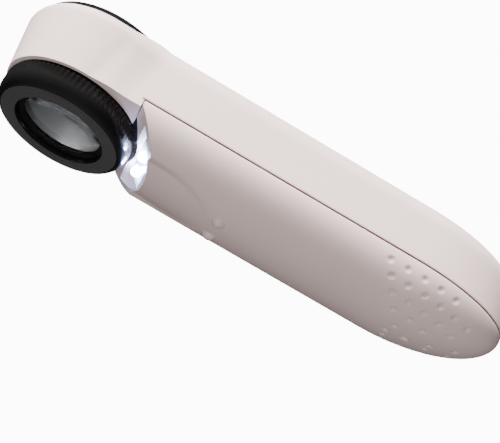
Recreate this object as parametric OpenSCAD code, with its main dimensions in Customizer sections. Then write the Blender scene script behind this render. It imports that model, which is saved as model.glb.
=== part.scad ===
// Illuminated hand magnifier: a white handle with a lens head, a black focus ring and two lamps.
// The origin is the centre of the focus ring's front face, +Z runs up the lens axis to the eye,
// and +X runs along the handle to its tail. All sizes are in millimetres.

/* [Handle] */
// Half of the handle's width
half_w = 19.3; // [18.8:0.1:20]
// Height of the seam between the two housings
seam_z = 10; // [9.5:0.1:10.5]
// Height of the flat deck on top of the handle
deck_z = 29; // [28.5:0.1:30]
// Radius of the deck's long edges
deck_r = 7; // [6.5:0.1:7.2]
// Depth of the rounded belly below the seam
belly = 12.4; // [12:0.1:12.8]
// Where the straight handle ends and the tail begins
tail_x = 96; // [96:1:110]
// Length of the tapering tail
tail_len = 35; // [33:1:40]
// Wall thickness of both housings
wall = 1.8; // [1.6:0.1:2]
// Gap between the two housings along the seam
seam_gap = 0.3; // [0.2:0.1:0.5]

/* [Head] */
// Height of the head's lower rim
rim_z = 7.7; // [7.6:0.1:8]
// Outer radius of the head at its lower rim
rim_r = 19.5; // [19.4:0.1:20]
// Outer radius of the head where its rounded top edge begins
head_r = 22; // [21.5:0.1:22.5]
// Height where the rounded top edge begins
head_z = 22.6; // [22:0.1:23]
// Radius of the rounded top edge
head_edge = 3.9; // [3.5:0.1:4]
// Radius of the bore through the head
head_bore = 18.3; // [18.2:0.1:18.4]

/* [Eyepiece] */
// Radius of the black cap at its top
cap_r = 20.2; // [20:0.1:20.4]
// Thickness of the cap's plate
cap_t = 2.2; // [2:0.1:2.4]
// Radius of the opening in the cap
eye_r = 12.6; // [12:0.1:12.8]

/* [Focus ring] */
// Radius of the opening in the ring's front face
opening_r = 12.5; // [12:0.1:12.6]
// Outer radius of the ring's front face
face_r = 16.4; // [16:0.1:16.8]
// Radius over the knurl
knurl_r = 18.85; // [18.6:0.05:19]
// Height of the knurled skirt
skirt_h = 7; // [6.6:0.1:7.2]
// Number of knurl grooves
knurl_n = 80; // [60:1:100]
// Outer radius of the ring's neck, which turns in the collar
neck_r = 16.65; // [16.6:0.01:16.68]
// Travel of the lens group when it is screwed out
focus_travel = 3; // [2:0.5:3]

/* [Lenses] */
// Radius of both lenses
lens_r = 12.75; // [12.6:0.05:12.8]
// Radius of curvature of the objective's front face
objective_front = 60; // [55:1:80]
// Radius of curvature of the objective's rear face
objective_rear = 32; // [30:1:40]
// Radius of curvature of the eye lens
eye_curve = 60; // [50:1:80]

/* [Lamps] */
// Distance from the centre plane to each lamp
lamp_y = 4.5; // [4.2:0.1:4.8]
// Radius of each lamp
lamp_r = 1.5; // [1.4:0.1:1.6]
// Where the mouth's slanted plane crosses the X axis
mouth_x = 24.5; // [24:0.1:24.8]
// Front edge of the lower housing at the seam
front_x = 16; // [15.5:0.1:16.5]

/* [Switch] */
// Where the slide switch stands along the handle
switch_x = 40; // [38:1:42]
// Travel of the slide switch
switch_travel = 3; // [2:0.5:3]

/* [Batteries] */
// Radius of one AAA cell
cell_r = 5.25; // [5.1:0.05:5.25]
// Length of one AAA cell, without its nub
cell_len = 43.5; // [43:0.5:43.5]
// Front end of the battery compartment
bay_x = 52; // [52:0.5:53]
// Length of the battery compartment
bay_len = 52; // [52:0.5:53]
// Half of the battery compartment's width
bay_w = 11.6; // [11.6:0.1:11.7]
// Angle through which the battery door opens
door_angle = 100; // [60:5:110]

/* [Hidden] */
$fn = 96;
eps = 0.01;
far = 200;
head_top = head_z + head_edge;
ring_gap = 1.2;
hug_r = knurl_r + ring_gap;
cap_z = 24.9;
cap_foot_r = 21;
seat_r = cap_foot_r + 0.3;
hood_z = 5.6;
// the lamps stand in the middle of the mouth, this far along its slope
mouth_mid = 9.3;
lamp_len = 4.1;
lamp_set = -0.4;
lamp_back = lamp_set + lamp_len;
facet_x = 46.5;
facet_angle = 3.4;
pip_x = 47.3;
pip_y = 4.5;
pip_z = -1.1;
pip_r = 2.2;
post_r = 2.6;
screw_r = 0.9;
plate_z = 24.3;
inner_w = half_w - wall;
inner_top = deck_z - wall;
// odd, so that the belly ends in a narrow flat and not in a point
section_steps = 35;
edge_steps = 9;
half_seam = seam_gap / 2;
cell_y = cell_r + 0.3;
cell_z = inner_top - 0.7 - cell_r;
door_t = wall;
door_gap = 0.3;
door_lip = 0.7;
door_roll = 0.85;
pivot_x = bay_x + bay_len - door_roll;
pivot_z = deck_z - door_roll;
plate_t = 0.4;
plate_w = 7.2;
front_plate = bay_x + 1.85;
rear_plate = bay_x + bay_len - 1.85 - plate_t;
nub_len = 1;
left_x = front_plate + plate_t + 0.2 + nub_len;
right_x = rear_plate - nub_len - cell_len - 0.05;
screw_x = [48.5, 108.5];
barrel_r = 14.35;
barrel_in = 12.9;
ledge_z = 1.5;
barrel_top = 19.6;
board_z = 19.4;
board_t = 0.8;
wire_r = 0.5;
wire_z = board_z + board_t + wire_r + 0.1;
bend_r = wire_r + 0.04;
stem_z = 23.6;

// Outline of the belly in the YZ plane, from +Y round the bottom to -Y, pulled in by d
function belly_arc(d) = [for (i = [0 : section_steps])
    let (a = 180 * i / section_steps)
    [(half_w - d) * cos(a), min(seam_z - half_seam, seam_z - (belly - d) * sin(a))]];

// Outline of the deck in the YZ plane, from +Y over the top to -Y, pulled in by d
function deck_arc(d) = concat(
    [[half_w - d, seam_z + half_seam]],
    [for (i = [0 : edge_steps]) let (a = 90 * i / edge_steps)
        [half_w - deck_r + (deck_r - d) * cos(a), deck_z - deck_r + (deck_r - d) * sin(a)]],
    [for (i = [edge_steps : -1 : 0]) let (a = 90 * i / edge_steps)
        [-(half_w - deck_r) - (deck_r - d) * cos(a), deck_z - deck_r + (deck_r - d) * sin(a)]],
    [[-(half_w - d), seam_z + half_seam]]);

// The +Y half of an outline, ending on the vertical axis
function half_outline(points) = let (n = len(points) / 2)
    concat([for (i = [0 : n - 1]) points[i]], [[0, points[n - 1][1]]]);

function reversed(points) = [for (i = [len(points) - 1 : -1 : 0]) points[i]];

// Extrudes an outline of the YZ plane along X
module along_x(x0, x1) {
    translate([x0, 0, 0])
        rotate([90, 0, 90])
            linear_extrude(x1 - x0)
                children();
}

// One housing's shell between an outer and an inner outline, from x0 to the rounded tail's tip.
// The tail is the same outline turned about the vertical axis and stretched along X.
module shell(x0, outer, inner) {
    along_x(x0, tail_x)
        polygon(concat(outer, reversed(inner)));
    translate([tail_x, 0, 0])
        scale([tail_len / half_w, 1, 1])
            rotate([0, 0, -90])
                rotate_extrude(angle = 180)
                    polygon(concat(half_outline(outer), reversed(half_outline(inner))));
}

// The solid under the seam in front of the tail, pulled in by d
module belly_core(d) {
    along_x(8, bay_x)
        polygon(belly_arc(d));
}

// Carries children to the mouth's plane: their +X faces out of the mouth, down and to the front
module at_mouth() {
    translate([mouth_x / 2 + mouth_mid, 0, mouth_x / 2 - mouth_mid])
        rotate([0, 135, 0])
            children();
}

// Everything in front of the slanted mouth
module front_of_mouth() {
    at_mouth()
        translate([0, -far / 2, -far / 2])
            cube([far, far, far]);
    translate([front_x - far, -far / 2, -far / 2])
        cube([far, far, far]);
}

// A straight round rod between two points
module rod(a, b, r) {
    v = b - a;
    length = norm(v);
    translate(a)
        rotate([0, acos(v[2] / length), atan2(v[1], v[0])])
            cylinder(h = length, r = r, $fn = 24);
}

// A wire that runs through a list of points, with a ball at every bend
module wire(points) {
    for (i = [0 : len(points) - 2])
        rod(points[i], points[i + 1], wire_r);
    for (i = [1 : len(points) - 2])
        translate(points[i])
            sphere(r = bend_r, $fn = 24);
}

// A coil spring along +X with flat ends, as one swept tube
module spring(length, radius, wire_r, turns) {
    sides = 6;
    per_turn = 14;
    rings = turns * per_turn;
    ring = [for (i = [0 : rings]) for (j = [0 : sides - 1])
        let (a = 360 * i / per_turn, b = 360 * j / sides, r = radius + wire_r * cos(b))
        [wire_r + (length - 2 * wire_r) * i / rings + wire_r * sin(b), r * cos(a), r * sin(a)]];
    walls = [for (i = [0 : rings - 1]) for (j = [0 : sides - 1]) for (half = [0, 1])
        let (k = (j + 1) % sides, a = i * sides, b = a + sides)
        half == 0 ? [a + j, b + j, b + k] : [a + j, b + k, a + k]];
    caps = [for (j = [1 : sides - 2]) for (end = [0, 1])
        let (a = end * rings * sides)
        end == 0 ? [a, a + j, a + j + 1] : [a, a + j + 1, a + j]];
    polyhedron(points = ring, faces = concat(walls, caps));
}

// Solid of revolution of the head, with its flared wall and rounded top edge
module head_solid() {
    edge = [for (i = [0 : 8]) let (a = 90 * i / 8)
        [head_r - head_edge + head_edge * cos(a), head_z + head_edge * sin(a)]];
    rotate_extrude()
        polygon(concat([[0, rim_z], [rim_r, rim_z]], edge, [[0, head_top]]));
}

// Hollow of the battery compartment with the door's recess in the deck
module door_hole(gap) {
    translate([bay_x - gap, -bay_w - gap, deck_z - door_t])
        cube([bay_len + 2 * gap, 2 * (bay_w + gap), far]);
    translate([bay_x + door_lip, -bay_w + door_lip, inner_top - 3])
        cube([bay_len - 2 * door_lip, 2 * (bay_w - door_lip), far]);
}

module upper_housing() {
    color("whitesmoke")
        difference() {
            union() {
                head_solid();
                shell(2, deck_arc(0), deck_arc(wall));
                // bulkhead between the head and the hollow handle
                along_x(2, head_bore + 2.2)
                    polygon(deck_arc(0.5));
                // the deck is thicker round the battery door, as a ledge that carries it
                translate([bay_x - 2, -bay_w - 2, inner_top - 1.2])
                    cube([bay_len + 4, 2 * bay_w + 4, 1.5]);
                // skirt that joins the head's rim to the handle in front of the seam
                translate([2, -half_w, rim_z])
                    cube([front_x - 2.3, 2 * half_w, seam_z - rim_z + 1]);
            }
            // bore for the collar, and the eye opening above it
            translate([0, 0, rim_z - 1])
                cylinder(h = plate_z - rim_z + 1, r = head_bore);
            cylinder(h = far, r = eye_r + 1.9);
            // seat for the cap, which also notches the front of the deck
            translate([0, 0, cap_z])
                cylinder(h = far, r = seat_r);
            door_hole(door_gap);
            // slot for the switch's stem
            translate([switch_x - 2, -1.7, inner_top - 1])
                cube([4 + switch_travel, 3.4, 10]);
        }
}

module lower_housing() {
    color("white") {
        difference() {
            union() {
                shell(8, belly_arc(0), belly_arc(wall));
                // hood over the lamps: a wall that hugs the focus ring, closed off to the belly
                intersection() {
                    belly_core(0.5);
                    union() {
                        cylinder(h = far, r = hug_r + 1.2);
                        at_mouth()
                            translate([-1.2, -far / 2, -far])
                                cube([far, far, 2 * far]);
                        cube([front_x + 1.2, far, far]);
                        mirror([0, 1, 0])
                            cube([front_x + 1.2, far, far]);
                    }
                    translate([0, -far / 2, hood_z])
                        cube([far, far, far]);
                }
                // posts that the housing screws bite into
                for (x = screw_x)
                    translate([x, 0, -0.9])
                        cylinder(h = 10.6, r = post_r);
            }
            front_of_mouth();
            translate([0, 0, -far / 2])
                cylinder(h = far, r = hug_r);
            // flat facet that thins the belly towards the mouth
            translate([facet_x, 0, -belly + seam_z])
                rotate([0, facet_angle, 0])
                    translate([-60, -far / 2, -far])
                        cube([60, far, far]);
            for (x = screw_x)
                translate([x, 0, 2])
                    cylinder(h = 20, r = screw_r + 0.05);
        }
        // two pips in front of the forefinger, which end inside the wall
        for (s = [-1, 1])
            intersection() {
                translate([pip_x, s * pip_y, pip_z])
                    sphere(r = pip_r, $fn = 32);
                translate([pip_x, s * pip_y, pip_z - 3])
                    cube(6, center = true);
            }
    }
}

module battery_door() {
    color("whitesmoke")
        difference() {
            union() {
                translate([bay_x, -bay_w, deck_z - 2 * door_roll])
                    cube([pivot_x - bay_x, 2 * bay_w, 2 * door_roll]);
                // rounded rear edge, which rolls about the pivot
                translate([pivot_x, bay_w, pivot_z])
                    rotate([90, 0, 0])
                        cylinder(h = 2 * bay_w, r = door_roll);
            }
            // thumb scallop near the free edge
            translate([bay_x + 7, 0, deck_z + 5.2])
                sphere(r = 6, $fn = 64);
        }
    // snap tongue behind the free edge
    color("whitesmoke")
        translate([bay_x + door_lip + 0.3, -3, deck_z - 2 * door_roll - 1.4])
            cube([0.9, 6, 1.5]);
}

module door_pad() {
    color("dimgray")
        translate([bay_x + 12, -8, deck_z - 2 * door_roll - 0.5])
            cube([26, 16, 0.5]);
}

module eyepiece_cap() {
    color([0.05, 0.05, 0.05])
        difference() {
            union() {
                translate([0, 0, cap_z + 0.02])
                    cylinder(h = cap_t - 0.42, r1 = cap_foot_r, r2 = cap_r);
                translate([0, 0, cap_z + cap_t - 0.4])
                    cylinder(h = 0.4, r1 = cap_r, r2 = cap_r - 0.4);
                translate([0, 0, plate_z - 1.3])
                    cylinder(h = cap_z - plate_z + 1.4, r = eye_r + 1.7);
            }
            translate([0, 0, plate_z - 2])
                cylinder(h = 10, r = eye_r);
        }
}

module thread_collar() {
    color([0.08, 0.08, 0.08])
        difference() {
            translate([0, 0, rim_z + 0.4])
                cylinder(h = plate_z - rim_z - 1.8, r = head_bore - 0.05);
            cylinder(h = far, r = neck_r + 0.1);
            // two slots that keep the barrel from turning
            for (s = [-1, 1])
                translate([s * (neck_r + 1) - 2, -1.7, 14.8])
                    cube([4, 3.4, 20]);
        }
}

module focus_ring() {
    notch = 360 / knurl_n;
    color([0.06, 0.06, 0.06])
        difference() {
            rotate_extrude()
                polygon(concat(
                    [[opening_r, 0], [face_r, 0]],
                    // rounded shoulder from the face to the knurl
                    [for (i = [1 : 8]) let (a = 90 * i / 8)
                        [face_r + (knurl_r - face_r) * sin(a), 3.6 * (1 - cos(a))]],
                    [[knurl_r, skirt_h], [neck_r, skirt_h], [neck_r, 18], [barrel_r + 0.1, 18],
                     [barrel_r + 0.1, ledge_z - 0.1], [opening_r, ledge_z - 0.1]]));
            for (i = [0 : knurl_n - 1])
                rotate([0, 0, i * notch])
                    translate([knurl_r + 0.1, 0, 4.2])
                        rotate([0, 0, 45])
                            translate([-0.32, -0.32, 0])
                                cube([0.64, 0.64, 4]);
        }
}

module lens_barrel() {
    color([0.04, 0.04, 0.04])
        difference() {
            union() {
                translate([0, 0, ledge_z])
                    cylinder(h = barrel_top - ledge_z, r = barrel_r);
                // keys that run in the collar's slots
                for (s = [-1, 1])
                    translate([s * (neck_r - 1.3) - 2.4, -1.5, 18.4])
                        cube([4.8, 3, barrel_top - 18.4]);
            }
            translate([0, 0, ledge_z - 1])
                cylinder(h = 18.45 - ledge_z + 1, r = barrel_in);
            cylinder(h = far, r = 11.9);
        }
}

// A lens with a ground edge from z0 to z1; a face with no curve is flat
module lens(z0, z1, front_curve, back_curve) {
    front_sag = front_curve > 0 ? front_curve - sqrt(pow(front_curve, 2) - pow(lens_r, 2)) : 0;
    back_sag = back_curve > 0 ? back_curve - sqrt(pow(back_curve, 2) - pow(lens_r, 2)) : 0;
    steps = 8;
    front = [for (i = [0 : steps]) let (r = lens_r * i / steps)
        [r, z0 - (front_curve > 0 ? sqrt(pow(front_curve, 2) - r * r) - front_curve + front_sag : 0)]];
    back = [for (i = [steps : -1 : 0]) let (r = lens_r * i / steps)
        [r, z1 + (back_curve > 0 ? sqrt(pow(back_curve, 2) - r * r) - back_curve + back_sag : 0)]];
    rotate_extrude()
        polygon(concat(front, back));
}

module objective_lens() {
    color([0.8, 0.88, 0.92, 0.4])
        lens(3.1, 5.3, objective_front, objective_rear);
}

module eye_lens() {
    color([0.8, 0.88, 0.92, 0.4])
        lens(16.4, 18.35, eye_curve, 0);
}

module lens_spacer() {
    color([0.1, 0.1, 0.1])
        translate([0, 0, 5.85])
            difference() {
                cylinder(h = 10.2, r = lens_r);
                translate([0, 0, -1])
                    cylinder(h = 20, r = lens_r - 0.9);
            }
}

module retaining_ring() {
    color([0.1, 0.1, 0.1])
        translate([0, 0, ledge_z + 0.1])
            difference() {
                cylinder(h = 0.9, r = lens_r);
                translate([0, 0, -1])
                    cylinder(h = 10, r = lens_r - 1.75);
            }
}

// One lamp: a clear dome on a flanged body, looking out of the mouth
module led(side) {
    at_mouth()
        translate([-lamp_set, side * lamp_y, 0])
            rotate([0, -90, 0]) {
                translate([0, 0, lamp_r])
                    cylinder(h = lamp_len - 0.7 - lamp_r, r = lamp_r, $fn = 48);
                translate([0, 0, lamp_r])
                    sphere(r = lamp_r, $fn = 48);
                translate([0, 0, lamp_len - 0.8])
                    cylinder(h = 0.8, r = lamp_r + 0.35, $fn = 48);
            }
}

module led_left() {
    color("lightcyan")
        led(-1);
}

module led_right() {
    color("lightcyan")
        led(1);
}

module led_holder() {
    color("white")
        intersection() {
            difference() {
                at_mouth()
                    translate([1.1 - lamp_back, -9, -3.2])
                        cube([1.3, 18, 6.2]);
                for (s = [-1, 1])
                    at_mouth()
                        translate([-6, s * lamp_y, 0])
                            rotate([0, 90, 0])
                                cylinder(h = 12, r = lamp_r + 0.08, $fn = 48);
                translate([0, 0, -1])
                    cylinder(h = 20, r = hug_r + 1.3);
            }
            belly_core(wall + 0.1);
        }
}

module led_board() {
    color("green")
        difference() {
            at_mouth()
                translate([-lamp_back - 1.1, -8.5, -3.2])
                    cube([1, 17, 6]);
            translate([0, 0, -1])
                cylinder(h = 20, r = hug_r + 1.3);
        }
}

module switch_knob() {
    color("gainsboro") {
        difference() {
            translate([switch_x - 5, -3.6, deck_z + 0.15])
                cube([10, 7.2, 1.9]);
            // grip grooves across the knob
            for (i = [-2 : 2])
                translate([switch_x + 1.6 * i, 0, deck_z + 2.4])
                    rotate([90, 0, 0])
                        cylinder(h = 20, r = 0.6, center = true, $fn = 32);
        }
        translate([switch_x - 1.7, -1.4, inner_top - 1.6])
            cube([3.4, 2.8, wall + 1.9]);
    }
}

module switch_lever() {
    color([0.1, 0.1, 0.1])
        translate([switch_x - 1, -1, stem_z - 0.6])
            cube([2, 2, inner_top - 1.6 - stem_z + 0.6]);
}

module slide_switch() {
    color("silver")
        difference() {
            translate([switch_x - 4.5, -2.9, board_z + board_t])
                cube([9 + switch_travel, 5.8, stem_z - board_z - board_t]);
            translate([switch_x - 1.3, -1.3, stem_z - 1])
                cube([2.6 + switch_travel, 2.6, 4]);
        }
}

module switch_board() {
    color("green")
        translate([switch_x - 9, -9, board_z])
            difference() {
                cube([18, 18, board_t]);
                translate([3, 14.6, -1])
                    cylinder(h = 3, r = 0.6, $fn = 24);
            }
}

module resistor() {
    color("tan")
        translate([switch_x - 6.5, 6, board_z + 1.75])
            rotate([0, 90, 0]) {
                cylinder(h = 6, r = 0.9, $fn = 32);
                translate([0, 0, -1.2])
                    cylinder(h = 8.4, r = 0.3, $fn = 24);
            }
}

module battery_tray() {
    color([0.85, 0.85, 0.83])
        difference() {
            translate([bay_x + 0.6, -bay_w + 0.4, cell_z - cell_r - 1.2])
                cube([bay_len - 1.2, 2 * bay_w - 0.8, 8.2]);
            // room for the cells, the springs and the contact plates
            for (s = [-1, 1])
                translate([bay_x + 1.8, s * cell_y, cell_z])
                    rotate([0, 90, 0])
                        cylinder(h = bay_len - 3.6, r = cell_r + 0.25);
            translate([bay_x + 1.8, -cell_y, cell_z])
                cube([bay_len - 3.6, 2 * cell_y, 20]);
            // slots for the contact plates
            for (x = [front_plate, rear_plate])
                translate([x - 0.05, -cell_y - plate_w / 2 - 0.1, cell_z - plate_w / 2 - 0.1])
                    cube([plate_t + 0.1, 2 * cell_y + plate_w + 0.2, 20]);
        }
    // legs under the tray, which stand on the belly's screw posts
    color([0.85, 0.85, 0.83])
        for (x = [bay_x + 6, bay_x + bay_len - 8])
            translate([x, -6, seam_z - 4])
                cube([2, 12, cell_z - cell_r - 1.1 - seam_z + 4]);
}

// One cell with its body starting at x0 and its nub at the front (dir 1) or the rear (dir -1)
module cell(x0, side, dir) {
    translate([x0 + cell_len / 2, side * cell_y, cell_z])
        rotate([0, -90 * dir, 0])
            translate([0, 0, -cell_len / 2]) {
                cylinder(h = cell_len, r = cell_r - 0.05);
                translate([0, 0, cell_len - eps])
                    cylinder(h = nub_len, r = 1.9, $fn = 32);
            }
}

module cell_left() {
    color("goldenrod")
        cell(left_x, -1, 1);
}

module cell_right() {
    color("goldenrod")
        cell(right_x, 1, -1);
}

module spring_front() {
    color("silver")
        translate([front_plate + plate_t, cell_y, cell_z])
            spring(right_x - front_plate - plate_t - 0.02, 3, 0.3, 3);
}

module spring_rear() {
    color("silver")
        translate([left_x + cell_len + 0.02, -cell_y, cell_z])
            spring(rear_plate - left_x - cell_len - 0.02, 3, 0.3, 3);
}

// A contact plate of nickelled steel that stands in its slot at one end of the tray
module contact(x, y0, y1) {
    color("silver")
        translate([x, y0, cell_z - plate_w / 2])
            cube([plate_t, y1 - y0, plate_w]);
}

module contact_positive() {
    contact(front_plate, -cell_y - plate_w / 2, -1.2);
    color("silver")
        translate([front_plate + plate_t - 0.05, -cell_y, cell_z])
            rotate([0, 90, 0])
                cylinder(h = 0.2, r = 1.6, $fn = 32);
}

module contact_negative() {
    contact(front_plate, 1.2, cell_y + plate_w / 2);
}

module contact_bridge() {
    contact(rear_plate, -cell_y - plate_w / 2, cell_y + plate_w / 2);
}

// A battery wire from the switch board, down past the board's end to a contact plate
module battery_wire(y) {
    wire([[switch_x + 5, y, wire_z], [bay_x - 2.2, y, wire_z], [bay_x - 1.4, y, cell_z - 2]]);
}

module red_wire() {
    color("red")
        battery_wire(-7);
}

module black_wire() {
    color([0.1, 0.1, 0.1])
        battery_wire(7);
}

module lamp_wires() {
    color("firebrick")
        for (s = [-1, 1])
            wire([[26.75, s * 3, 4.95], [28.6, s * 3, 7.6], [29.5, s * 3, 16],
                  [switch_x - 6, s * 3, board_z - wire_r - 0.05]]);
}

module housing_screws() {
    color("silver")
        for (x = screw_x)
            translate([x, 0, 3]) {
                cylinder(h = 7, r = screw_r, $fn = 32);
                difference() {
                    translate([0, 0, 6.9])
                        cylinder(h = 1.6, r = 1.9, $fn = 32);
                    // cross recess in the head
                    for (a = [0, 90])
                        rotate([0, 0, a])
                            translate([-1.2, -0.25, 7.7])
                                cube([2.4, 0.5, 2]);
                }
            }
}

upper_housing();
lower_housing();
battery_door();
door_pad();
eyepiece_cap();
thread_collar();
focus_ring();
lens_barrel();
objective_lens();
lens_spacer();
eye_lens();
retaining_ring();
led_left();
led_right();
led_board();
led_holder();
switch_knob();
switch_lever();
slide_switch();
switch_board();
resistor();
battery_tray();
cell_left();
cell_right();
spring_front();
spring_rear();
contact_positive();
contact_negative();
contact_bridge();
red_wire();
black_wire();
lamp_wires();
housing_screws();
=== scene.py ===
"""Looks of the illuminated hand magnifier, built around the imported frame.

Lengths are in millimetres until a mesh is made, and metres from then on. The camera and the lights
are placed in metres. The frame's origin is the centre of the focus ring's front face, +Z runs up the
lens axis and +X along the handle.
"""

import math

import bmesh
import bpy
import numpy as np
from mathutils import Matrix, Vector


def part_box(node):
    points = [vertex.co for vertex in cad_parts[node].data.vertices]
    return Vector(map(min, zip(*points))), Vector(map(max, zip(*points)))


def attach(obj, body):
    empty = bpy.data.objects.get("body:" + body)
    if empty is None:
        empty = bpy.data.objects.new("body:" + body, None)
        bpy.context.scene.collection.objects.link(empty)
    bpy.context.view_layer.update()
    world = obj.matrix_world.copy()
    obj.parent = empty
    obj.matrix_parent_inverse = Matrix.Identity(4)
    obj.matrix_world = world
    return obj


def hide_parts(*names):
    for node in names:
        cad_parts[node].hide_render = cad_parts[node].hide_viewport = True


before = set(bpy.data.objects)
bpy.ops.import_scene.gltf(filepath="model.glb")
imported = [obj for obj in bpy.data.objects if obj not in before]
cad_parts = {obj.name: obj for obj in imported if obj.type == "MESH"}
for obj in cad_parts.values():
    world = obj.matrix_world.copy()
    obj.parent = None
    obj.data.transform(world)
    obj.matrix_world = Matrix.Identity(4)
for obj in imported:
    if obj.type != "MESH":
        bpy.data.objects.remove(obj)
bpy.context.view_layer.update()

MM = 0.001
FAR = 300.0


def node_box(node):
    """Lowest and highest corners of a CAD node, in millimetres."""
    low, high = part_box(node)
    return Vector(low) / MM, Vector(high) / MM


upper_high = node_box("upper_housing")[1]
lower_high = node_box("lower_housing")[1]
ring_high = node_box("focus_ring")[1]
cap_high = node_box("eyepiece_cap")[1]
door_low, door_high = node_box("battery_door")
knob_low, knob_high = node_box("switch_knob")

# handle: half width, height of the flat deck, and the tail's tip
HALF_W = lower_high.y
DECK_Z = upper_high.z
TIP_X = upper_high.x
DECK_R = 7.0
BELLY = 12.4
WALL = 1.8
# the tail is half an ellipse in plan, from TAIL_X to the tip
TAIL_X = 96.0
TAIL_LEN = TIP_X - TAIL_X
STRETCH = TAIL_LEN / HALF_W
# seam between the shells: its gap, and how far its edges are rounded off along and into the wall
SEAM_Z = 10.0
SEAM_GAP = 0.3
SEAM_TOP = SEAM_Z + SEAM_GAP / 2
SEAM_FOOT = SEAM_Z - SEAM_GAP / 2
SEAM_SOFT = 0.45
SEAM_PULL = 0.22
# how far the painted seam shadow reaches beside the gap, on each side
SEAM_SHADOW_REACH = 0.12
# head: rim round the focus ring, outer radius, height and rounded edge of the crown
RIM_Z = 7.7
RIM_R = 19.5
HEAD_R = upper_high.y
HEAD_Z = 22.6
HEAD_EDGE = 3.9
HEAD_BORE = 18.3
HEAD_WALL = 2.2
# stretch of the handle over which the head's height and width run into it
BLEND_START = 0.0
BLEND_END = 14.0
NECK_END = BLEND_END + 4.0
SHOULDER = 4.0
SHOULDER_RUN = 8.0
# eyepiece: the cap's foot and top, its seat in the head, its opening, and the spigot in the plate's bore
CAP_FOOT_R = cap_high.y
CAP_R = 20.2
CAP_ROUND = 0.45
CAP_Z = 24.9
SEAT_R = CAP_FOOT_R + 0.3
EYE_R = 12.6
PLATE_Z = 24.3
PLATE_BORE = EYE_R + 1.9
CAP_SPIGOT = EYE_R + 1.7
CAP_GROOVE_R = 18.4
# mouth of the lamps, and the hood that hugs the focus ring above them
FRONT_X = 16.0
MOUTH_X = 24.5
MOUTH_MID = 9.3
RING_GAP = 1.2
HUG_R = ring_high.y + RING_GAP
HOOD_WALL = 1.2
HOOD_Z = 5.6
HOOD_INSET = 0.5
# lamps: dome radius, length, how far they sit behind the mouth's slope (in front of it if negative),
# flange, and the place and size of the light that each one gives
LAMP_R = 1.5
LAMP_LEN = 4.1
LAMP_SET = -0.4
FLANGE_H = 0.8
FLANGE_W = 0.35
LAMP_GLOW_OUT = 0.6
LAMP_GLOW_R = 0.8
# belly's mesh: where it starts, where its fine part round the scoop ends, and the tail's fine turn
BELLY_START = 8.0
SCOOP_END = 50.0
TAIL_FINE = 0.72
# scoop behind the mouth
SCOOP_X = 29.0
SCOOP_LEN = 17.0
SCOOP_HALF = 12.8
SCOOP_DEPTH = 1.3
SCOOP_SOFT = 3.0
SCOOP_FADE = 4.0
SCOOP_TOP = SEAM_Z - 4.0
# pips and screw posts
PIP = Vector((47.3, 4.5, -1.1))
PIP_R = 2.2
POST_R = 2.6
POST_X = (48.5, 108.5)
POST_Z = (-0.9, 9.7)
PILOT_R = 0.95
PILOT_Z = (2.0, 12.0)
# dimples of the grip: rows from the edge to the middle, each starting further back than the last
DIMPLE_R = 1.15
DIMPLE_DEPTH = 0.5
DIMPLE_PITCH = 5.15
DIMPLE_X = 89.4
ROW_STEP = math.radians(14.8)
ROW_SHIFT = 2.0
ROW_BEND = 0.25
ROW_COUNTS = (5, 6, 6, 5, 4)
MIDDLE_SHIFT = 11.1
MIDDLE_COUNT = 4
# focus ring: knurl, flat face, opening, rounded shoulder, neck and the ledge in front of the lens
TEETH = 80
TOOTH_DEPTH = 0.5
TOOTH_LOW = 2.7
TOOTH_HIGH = 5.6
FACE_R = 16.4
OPENING_R = 12.5
FACE_ROUND = 3.6
SKIRT_H = 7.0
NECK_R = 16.65
NECK_BORE = 14.45
LEDGE_Z = 1.4
TURNED_PITCH = 0.42
TURNED_DEPTH = 0.12
# retaining ring and lenses
LOCK_BORE = 11.0
NOTCH_HALF = 0.6
NOTCH_DEPTH = 0.45
NOTCH_TURN = 20
LENS_RIM = 0.15
LENS_BEVEL = 0.1
# battery bay, door and switch slot in the deck
BAY_X = door_low.x
BAY_W = door_high.y
BAY_END = door_high.x
DOOR_GAP = 0.3
DOOR_LIP = 0.7
DOOR_ROLL = 0.85
LEDGE_W = 2.0
LEDGE_H = 1.2
SWITCH_SLOT = (38.0, 45.0, 1.7)
GROOVE_PITCH = 1.6
GROOVE_R = 0.62
STEM_HALF = (1.7, 1.4)
# cells' springs
SPRING_WIRE = 0.3
SPRING_TURNS = 3
SPRING_STEPS = 36
# height that every cutter reaches past the object
CLEAR = 60.0

# camera: its place in metres, the way it looks and its up, set so that the ring's, the head's and the
# handle's outlines fall as they do in the photograph
CAMERA_PLACE = Vector((0.02943, -0.23368, -0.11898))
CAMERA_LOOK = Vector((0.09611, 0.87858, 0.46782))
CAMERA_UP = Vector((-0.49974, -0.36387, 0.78604))
LENS_MM = 72.0
SENSOR_MM = 36.0
# surround: its strength to the camera, through the lenses, and where it lights the object
SEEN_WHITE = 12.0
SEEN_THROUGH = 2.0
AMBIENT = 0.035
FLOOR_Z = -2000.0
FLOOR_HALF = 40000.0
LAMP_POWER = 0.010
# lights: name, place and size in metres, power in watts, colour
AIM = (0.05, 0.0, 0.01)
LIGHTS = (
    ("key", (-0.36, -0.52, 0.62), 0.7, 46.0, (1.0, 0.97, 0.95)),
    ("fill", (-0.05, -0.56, -0.45), 0.6, 3.2, (1.0, 0.98, 0.97)),
    ("back", (0.35, 0.65, 0.6), 0.7, 18.0, (1.0, 1.0, 1.0)),
)


# ---------------------------------------------------------------- shapes

def smoothstep(start, end, value):
    """0 before start, 1 after end, and a smooth rise between them."""
    t = min(max((value - start) / (end - start), 0.0), 1.0)
    return t * t * (3 - 2 * t)


def soft_max(a, b, width):
    """The larger of two values, rounded off where they are less than width apart."""
    if width <= 0:
        return max(a, b)
    near = max(width - abs(a - b), 0.0)
    return max(a, b) + near * near / (4 * width)


def spaced(start, end, steps):
    """Evenly spaced values from start, without end."""
    return [start + (end - start) * i / steps for i in range(steps)]


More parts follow.
